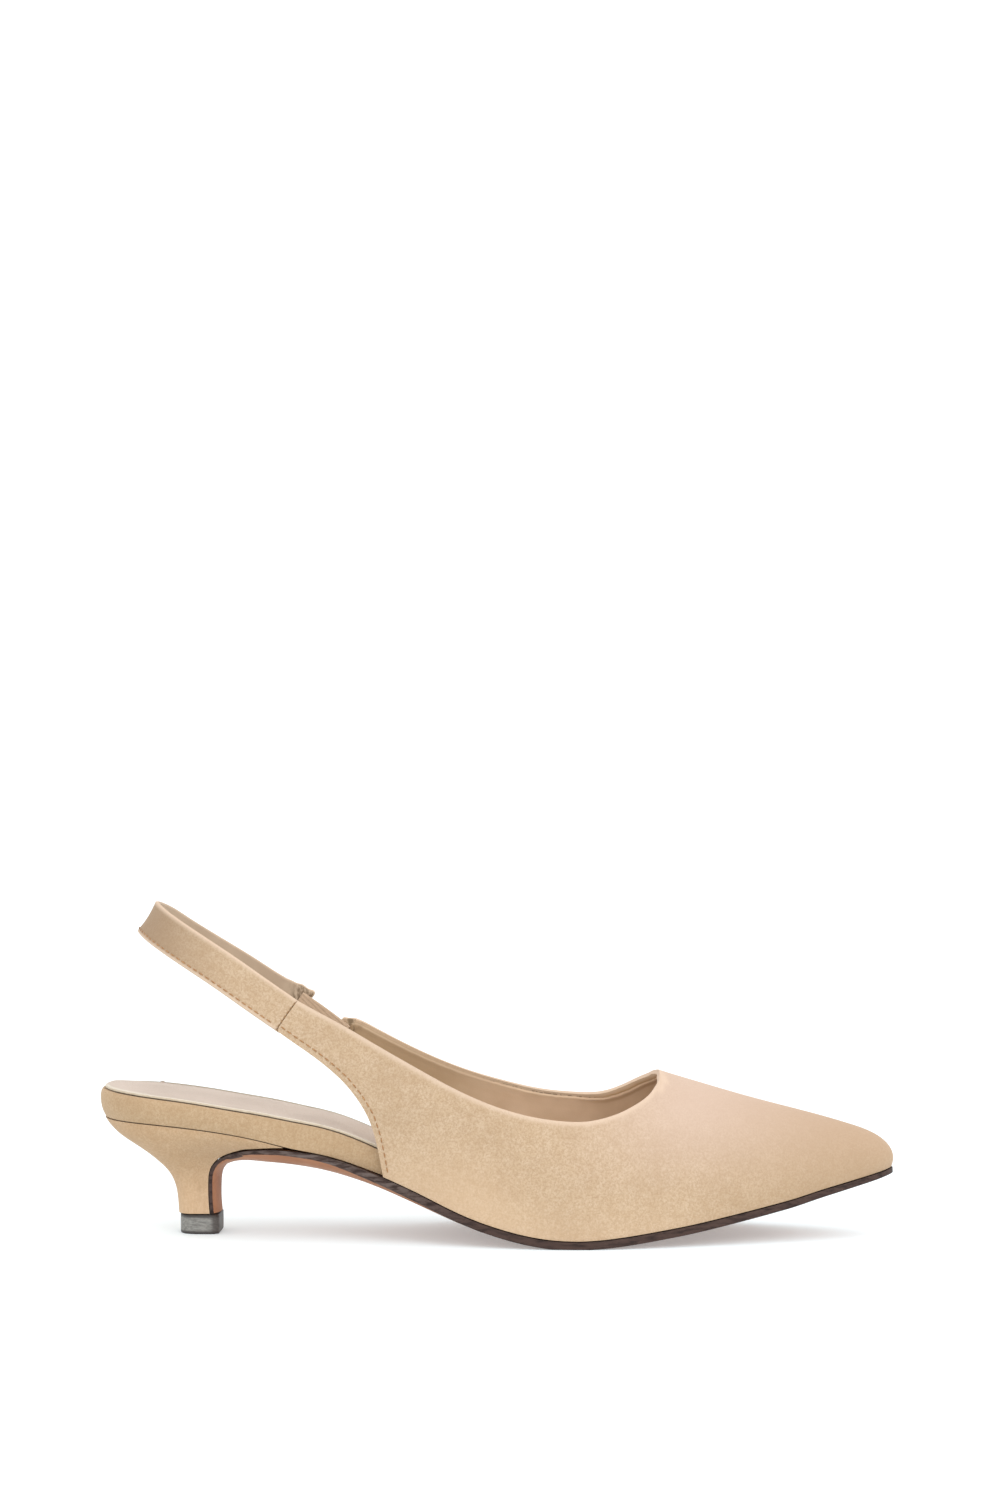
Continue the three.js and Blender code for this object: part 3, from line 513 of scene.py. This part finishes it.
STITCH_THREAD = thread("stitch_thread", srgb(192, 142, 88), srgb(150, 102, 56))
SEAM_THREAD = thread("seam_thread", srgb(166, 124, 76), srgb(124, 88, 52))

# Shapes from the frame


def welded(node, halves=False):
    """The node's own shape, its triangles joined to quads where they can be.

    halves draws together the two halves of a piece that meet unevenly on its middle line.
    """
    bm = bmesh.new()
    bm.from_mesh(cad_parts[node].data)
    bmesh.ops.remove_doubles(bm, verts=bm.verts, dist=WELD)
    if halves:
        line = [vert for vert in bm.verts if abs(vert.co.y) < WELD]
        bmesh.ops.remove_doubles(bm, verts=line, dist=HALVES_APART)
    bmesh.ops.join_triangles(
        bm, faces=bm.faces, angle_face_threshold=math.radians(35),
        angle_shape_threshold=math.radians(75),
    )
    bm.normal_update()
    return bm


def is_sharp(edge):
    return len(edge.link_faces) == 2 and edge.calc_face_angle() > SHARP


def smooth_regions(bm):
    """Groups of faces that no sharp edge parts, the largest area first."""
    left = dict.fromkeys(bm.faces)
    groups = []
    while left:
        seed = left.popitem()[0]
        group, queue = [seed], [seed]
        while queue:
            for edge in queue.pop().edges:
                if is_sharp(edge):
                    continue
                for face in edge.link_faces:
                    if face in left:
                        del left[face]
                        group.append(face)
                        queue.append(face)
        groups.append(group)
    return sorted(groups, key=lambda group: -sum(face.calc_area() for face in group))


def region_runs(faces):
    """The border of a region, split at its corners: lists of (place, inward)."""
    region = set(faces)
    follow = {}
    for face in faces:
        for loop in face.loops:
            if any(other not in region for other in loop.edge.link_faces):
                follow[loop.vert] = (loop.link_loop_next.vert, face)
    runs = []
    while follow:
        vert = next(iter(follow))
        steps = []
        while vert in follow:
            after, face = follow.pop(vert)
            steps.append((vert.co.copy(), after.co.copy(), face.normal.copy()))
            vert = after
        count = len(steps)
        ways = [(end - start).normalized() for start, end, _ in steps]
        corners = [k for k in range(count) if ways[k - 1].angle(ways[k]) > CORNER] or [0]
        for first, last in zip(corners, corners[1:] + [corners[0] + count]):
            run = []
            for k in range(first, last):
                start, end, normal = steps[k % count]
                inward = normal.cross(ways[k % count]).normalized()
                run.append((start, inward))
            run.append((end, inward))
            runs.append(run)
    return runs


def run_length(run):
    return sum((end - start).length for (start, _), (end, _) in zip(run, run[1:]))


def middle(run):
    return sum((place for place, _ in run), Vector()) / len(run)


def along(points, pitch):
    """Places every pitch metres along a chain of points."""
    placed = []
    carry = 0.0
    for start, end in zip(points, points[1:]):
        reach = (end - start).length
        at = carry
        while at < reach:
            placed.append(start.lerp(end, at / reach))
            at += pitch
        carry = at - reach
    return placed


def route_of(run, inset=0.0):
    """Close places along a run, moved inward by inset."""
    return along([place + inward * inset for place, inward in run], ROUTE_PITCH)


def tree_of(places):
    tree = KDTree(len(places))
    for k, place in enumerate(places):
        tree.insert(place, k)
    tree.balance()
    return tree


def distance(vert, tree):
    """How far a vertex is from the nearest place in the tree."""
    return tree.find(vert.co)[2]


def rim_of(bm, wanted):
    """A tree of places on the sharp edges of the faces that wanted(face) picks."""
    places = []
    for edge in bm.edges:
        if is_sharp(edge) and any(wanted(face) for face in edge.link_faces):
            places += along([vert.co.copy() for vert in edge.verts], RIM_PITCH)
    return tree_of(places)


# Making and finishing a piece


def take_second_finish(faces):
    for face in faces:
        face.material_index = 1


def object_from(bm, name, finishes):
    """The bmesh as an object in the scene, with these finishes in its material slots."""
    mesh = bpy.data.meshes.new(name)
    bm.to_mesh(mesh)
    bm.free()
    for finish in finishes:
        mesh.materials.append(finish)
    return added(name, mesh)


def settle(bm, name, finishes, rounding, levels=2):
    """Rounds the sharp edges, smooths the shape and makes it an object with no modifiers."""
    bmesh.ops.bevel(
        bm, geom=[edge for edge in bm.edges if is_sharp(edge)], offset=rounding,
        offset_type="OFFSET", affect="EDGES", segments=2, profile=0.5, material=-1,
        clamp_overlap=True,
    )
    piece = object_from(bm, name, finishes)
    smooth = piece.modifiers.new("smooth", "SUBSURF")
    smooth.levels = smooth.render_levels = levels
    graph = bpy.context.evaluated_depsgraph_get()
    smoothed = bpy.data.meshes.new_from_object(piece.evaluated_get(graph))
    piece.modifiers.clear()
    piece.data = smoothed
    smoothed.shade_smooth()
    return piece


def write_attribute(piece, name, measure):
    """Stores measure(vertex) on every vertex of the piece."""
    layer = piece.data.attributes.new(name, "FLOAT", "POINT")
    layer.data.foreach_set("value", [measure(vert) for vert in piece.data.vertices])


def shift(piece, move):
    """Moves each vertex by the vector move(vertex), all measured before any moves."""
    moves = [move(vert) for vert in piece.data.vertices]
    for vert, step in zip(piece.data.vertices, moves):
        vert.co += step
    piece.data.update()


def push(piece, depth):
    """Moves each vertex out along its normal by depth(vertex)."""
    shift(piece, lambda vert: vert.normal * depth(vert))


def lift(piece, height):
    """Moves each vertex up by height(vertex)."""
    shift(piece, lambda vert: Vector((0, 0, height(vert))))


def wear(piece, slot, *nodes):
    """The piece rides on the shoe, attached to its root, and stands for these nodes, which are
    hidden. slot is not used.
    """
    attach(piece, "root")
    if nodes:
        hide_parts(*nodes)


def surface_of(piece):
    bm = bmesh.new()
    bm.from_mesh(piece.data)
    tree = BVHTree.FromBMesh(bm)
    bm.free()
    return tree


def smoothstep(low, high, value):
    share = min(max((value - low) / (high - low), 0.0), 1.0)
    return share * share * (3 - 2 * share)


# Stitches

STITCH_MIDDLE = 0.12  # height of its middle over the surface, as a share of its thickness
STITCH_FLAT = 0.42  # half its height, as a share of its thickness
SHORTEST_STITCH = 0.3  # as a share of the pitch


def sew(name, routes, surface, finish, pitch=2.5 * MM, length=2.0 * MM, thick=0.5 * MM):
    """Stitches laid on a surface along each route, each one a rounded grain of thread."""
    bm = bmesh.new()
    for route in routes:
        places = along(route, pitch)
        for place, after in zip(places, places[1:]):
            spot, normal, _, _ = surface.find_nearest(place)
            way = surface.find_nearest(after)[0] - spot
            if way.length < pitch * SHORTEST_STITCH:
                continue
            way = (way - normal * way.dot(normal)).normalized()
            side = normal.cross(way)
            centre = spot + way * (pitch * 0.5) + normal * (thick * STITCH_MIDDLE)
            turn = Matrix((way, side, normal)).transposed().to_4x4()
            size = Matrix.Diagonal((length / 2, thick / 2, thick * STITCH_FLAT, 1))
            bmesh.ops.create_uvsphere(
                bm, u_segments=8, v_segments=5, radius=1.0,
                matrix=Matrix.Translation(centre) @ turn @ size,
            )
    stitches = object_from(bm, name, [finish])
    stitches.data.shade_smooth()
    wear(stitches, "suede")


# Moves that several pieces share

TOE_OUT = 0.6 * MM
TOE_LIFT = 0.5 * MM


def toe_spring(vert):
    """The toe ends a little further out, and its sole stands a little off the floor."""
    tip = smoothstep(214 * MM, 227 * MM, vert.co.x)
    above_sole = smoothstep(19.5 * MM, 23 * MM, vert.co.z)
    toe = smoothstep(194 * MM, 208 * MM, vert.co.x)
    low = 1 - smoothstep(18 * MM, 30 * MM, vert.co.z)
    return Vector((TOE_OUT * tip * above_sole, 0, TOE_LIFT * low * toe))


def puff(reach, limit, fold):
    """Fabric drawn up where the elastic holds it: uneven swells that fade along the piece."""
    fade = 1 - smoothstep(limit * 0.35, limit, reach)
    swell = 0.76 + 0.24 * math.cos(reach / fold * 2 * math.pi)
    return fade * swell


# Upper

THROAT_DOWN = 0.3 * MM
THROAT_UP = 0.95 * MM
FOLD_THICK = 0.2 * MM
QUARTER_PUFF = 0.45 * MM
BACK_STITCH_INSET = 1.9 * MM


def is_collar(run):
    return middle(run).z > 38 * MM and middle(run).x > 80 * MM


def is_inner_quarter_end(run):
    end = middle(run)
    return end.y > 0 and end.x < 50 * MM and 8 * MM < run_length(run) < 20 * MM


def is_back_edge(run):
    return middle(run).x < 70 * MM and 30 * MM < run_length(run) < 90 * MM


upper_bm = welded("upper")
outside, inside = smooth_regions(upper_bm)[:2]
take_second_finish(inside)
outer_runs = region_runs(outside)
inner_runs = region_runs(inside)
collar = [place for run in outer_runs + inner_runs if is_collar(run) for place in route_of(run)]
quarter_end = tree_of(
    [place for run in outer_runs if is_inner_quarter_end(run) for place in route_of(run)])
back_routes = [route_of(run, BACK_STITCH_INSET) for run in outer_runs if is_back_edge(run)]
throat_tip = max(collar, key=lambda place: place.x + place.z)

upper = settle(upper_bm, "upper_shell", [UPPER_SUEDE, COLLAR_LINING], rounding=0.45 * MM)
collar_tree = tree_of(collar)
from_top = [distance(vert, collar_tree) for vert in upper.data.vertices]
lined = {index for face in upper.data.polygons if face.material_index for index in face.vertices}


def held(vert):
    """How much the inner quarter is gathered by the elastic under it."""
    if vert.co.y < 0:
        return 0.0
    return puff(distance(vert, quarter_end), limit=10 * MM, fold=4.2 * MM)


def soften_throat(vert):
    """The opening is worn round: down at its tip, up beside it along the inner side's collar."""
    reach = (vert.co - throat_tip).length
    down = THROAT_DOWN * (1 - smoothstep(0, 4.5 * MM, reach))
    inner = smoothstep(-0.5 * MM, 2 * MM, vert.co.y - throat_tip.y)
    inner = inner * smoothstep(0.5 * MM, 3.5 * MM, throat_tip.x - vert.co.x)
    near = smoothstep(0.5 * MM, 4 * MM, reach) * (1 - smoothstep(6 * MM, 14 * MM, reach))
    return THROAT_UP * near * inner - down


def collar_fold(vert):
    """The collar's suede is turned in and glued down over the lining."""
    if vert.index not in lined:
        return 0.0
    return FOLD_THICK * (1 - smoothstep(2.2 * MM, 3.2 * MM, from_top[vert.index]))


write_attribute(upper, "from_top", lambda vert: from_top[vert.index])
# Rubbing and a painted highlight along the collar's rounded edge.
write_attribute(
    upper, "edge_rub_and_highlight", lambda vert: 1 - smoothstep(0.3 * MM, 2.2 * MM, from_top[vert.index]))
write_attribute(upper, "gathered", held)
lift(upper, soften_throat)
push(upper, lambda vert: collar_fold(vert) + QUARTER_PUFF * held(vert))
shift(upper, toe_spring)
wear(upper, "suede", "upper")
upper_surface = surface_of(upper)
sew("quarter_stitches", back_routes, upper_surface, STITCH_THREAD)

# Sling strap

STRAP_PUFF = 0.75 * MM
STRAP_STITCH_INSET = 1.7 * MM
SEAM_GAP = 0.06 * MM
SEAM_STITCH_BACK = 0.2 * MM
SEAM_SEARCH = 6 * MM

strap_bm = welded("sling_strap")
strap_middle = sum((vert.co for vert in strap_bm.verts), Vector()) / len(strap_bm.verts)


def outwardness(group):
    """More than 0 where the faces look away from the middle of the band's loop."""
    return sum(face.normal.dot(face.calc_center_median() - strap_middle) for face in group)


band_inside, band_outside = sorted(smooth_regions(strap_bm)[:2], key=outwardness)
take_second_finish(band_inside)
strap_runs = sorted(region_runs(band_outside), key=run_length)
strap_ends = strap_runs[:-2]
lower_edge, upper_edge = sorted(strap_runs[-2:], key=lambda run: middle(run).z)
strap = settle(
    strap_bm, "sling_strap_band", [STRAP_SUEDE, STRAP_LINING], rounding=0.5 * MM, levels=3)
inner_end = tree_of([place for run in strap_ends if middle(run).y > 0 for place, _ in run])
band_edges = tree_of(route_of(upper_edge) + route_of(lower_edge))


def gathers(vert):
    """How much the elastic gathers the band's inner end."""
    return puff(distance(vert, inner_end), limit=11 * MM, fold=4.6 * MM)


outer_end = next(run for run in strap_ends if middle(run).y < 0)
end_places = [place for place, _ in outer_end]
end_tree = tree_of(end_places)
ahead = -sum((inward for _, inward in outer_end), Vector()).normalized()
hits = [upper_surface.ray_cast(place - ahead * MM, ahead, SEAM_SEARCH)[3] for place in end_places]
furthest = max(hit for hit in hits if hit is not None)
gaps = [(furthest if hit is None else hit) - MM for hit in hits]


def close_seam(vert):
    """How far the band's outer end comes forward to lie against the quarter."""
    _, nearest, reach = end_tree.find(vert.co)
    return max(gaps[nearest] - SEAM_GAP, 0.0) * (1 - smoothstep(2 * MM, 7 * MM, reach))


shift(strap, lambda vert: ahead * close_seam(vert))
write_attribute(strap, "from_top", lambda vert: distance(vert, band_edges))
# Rubbing and a painted highlight along the band's two edges.
write_attribute(
    strap, "edge_rub_and_highlight",
    lambda vert: 1 - smoothstep(0.3 * MM, 1.8 * MM, distance(vert, band_edges)))
write_attribute(strap, "gathered", gathers)
push(strap, lambda vert: STRAP_PUFF * gathers(vert))
wear(strap, "suede", "sling_strap")
strap_surface = surface_of(strap)
sew("strap_stitches", [route_of(lower_edge, STRAP_STITCH_INSET)], strap_surface, STITCH_THREAD)
seam = [
    place + ahead * max(gap - SEAM_STITCH_BACK, 0.0) for place, gap in zip(end_places, gaps)]
seam_route = along(seam, ROUTE_PITCH)[1:-3]  # clear of the band's two edges
sew(
    "seam_stitches", [seam_route], strap_surface, SEAM_THREAD,
    pitch=1.7 * MM, length=1.5 * MM, thick=0.62 * MM,
)

# Elastic gore

gore = settle(welded("elastic_gore"), "elastic_insert", [elastic()], rounding=0.25 * MM)
wear(gore, "elastic", "elastic_gore")

# Seat board and insole, pared thinner on the inner side

SEAT_PARED = 0.5 * MM
INSOLE_PARED = 1.1 * MM
INSOLE_SUNK = 0.55 * MM
TOP_FACE = 0.6  # the least normal.z of the insole's top faces


def inner_side(vert):
    """1 on the seat's inner side, fading across its middle and towards the waist."""
    return smoothstep(6 * MM, 24 * MM, vert.co.y) * (1 - smoothstep(60 * MM, 80 * MM, vert.co.x))


def pared(vert):
    """The top of the seat board comes down, its underside stays."""
    return -SEAT_PARED * inner_side(vert) * smoothstep(0.3, 0.9, vert.normal.z)


def skived(vert):
    """The insole follows the pared seat down and is thinner there itself."""
    down = INSOLE_PARED if vert.normal.z > 0.3 else INSOLE_SUNK
    return -down * inner_side(vert)


seat_bm = welded("seat_board", halves=True)
seat = settle(seat_bm, "covered_seat", [SEAT_SUEDE], rounding=0.5 * MM)
lift(seat, pared)
shift(seat, toe_spring)
wear(seat, "suede", "seat_board")

insole_bm = welded("insole", halves=True)
take_second_finish(face for face in insole_bm.faces if face.normal.z < TOP_FACE)
insole_rim = rim_of(insole_bm, lambda face: face.normal.z > TOP_FACE)
insole = settle(insole_bm, "insole_sock", [sock(), sock_edge()], rounding=0.2 * MM)
write_attribute(insole, "from_rim", lambda vert: distance(vert, insole_rim))
lift(insole, skived)
shift(insole, toe_spring)
wear(insole, "lining", "insole")

# Outsole, heel and tip


def has_painted_rim(face):
    """The sole's top, and the back of its wrap down the heel."""
    return face.normal.z > 0.5 or face.normal.x < -0.5


outsole_bm = welded("outsole")
outsole_rim = rim_of(outsole_bm, has_painted_rim)
outsole = settle(outsole_bm, "leather_outsole", [sole()], rounding=0.3 * MM)
write_attribute(outsole, "from_rim", lambda vert: distance(vert, outsole_rim))
write_attribute(outsole, "facing_down", lambda vert: -vert.normal.z)
shift(outsole, toe_spring)
wear(outsole, "sole_leather", "outsole")

heel = settle(welded("heel"), "covered_heel", [HEEL_SUEDE], rounding=0.35 * MM)
wear(heel, "suede", "heel")

tip_bm = welded("top_piece")
tip_rim = rim_of(tip_bm, lambda face: True)
tip = settle(tip_bm, "heel_tip", [rubber()], rounding=0.3 * MM)
write_attribute(
    tip, "near_corner", lambda vert: 1 - smoothstep(0.3 * MM, 1.0 * MM, distance(vert, tip_rim)))
wear(tip, "tip_rubber", "top_piece")

# Studio floor and surroundings

FLOOR_RADIUS = 9.0
PAPER = srgb(241, 249, 252)
PAPER_LIGHT = srgb(244, 251, 254)
PAPER_GLOW = (0.95, 1, 1.02, 1)

world = bpy.data.worlds.new("studio")
world.use_nodes = True
backdrop = world.node_tree.nodes["Background"]
backdrop.inputs["Color"].default_value = (1, 1, 1, 1)
backdrop.inputs["Strength"].default_value = STUDIO_LIGHT
bpy.context.scene.world = world

paper = Finish("studio_paper")
paper_material = paper.surface(
    Base_Color=paper.mix(paper.noise(400 * MM), PAPER, PAPER_LIGHT), Roughness=0.9,
    Specular_IOR_Level=0.1, Emission_Color=PAPER_GLOW, Emission_Strength=0.28,
)
floor_bm = bmesh.new()
bmesh.ops.create_circle(floor_bm, cap_ends=True, segments=64, radius=FLOOR_RADIUS)
object_from(floor_bm, "studio_floor", [paper_material])
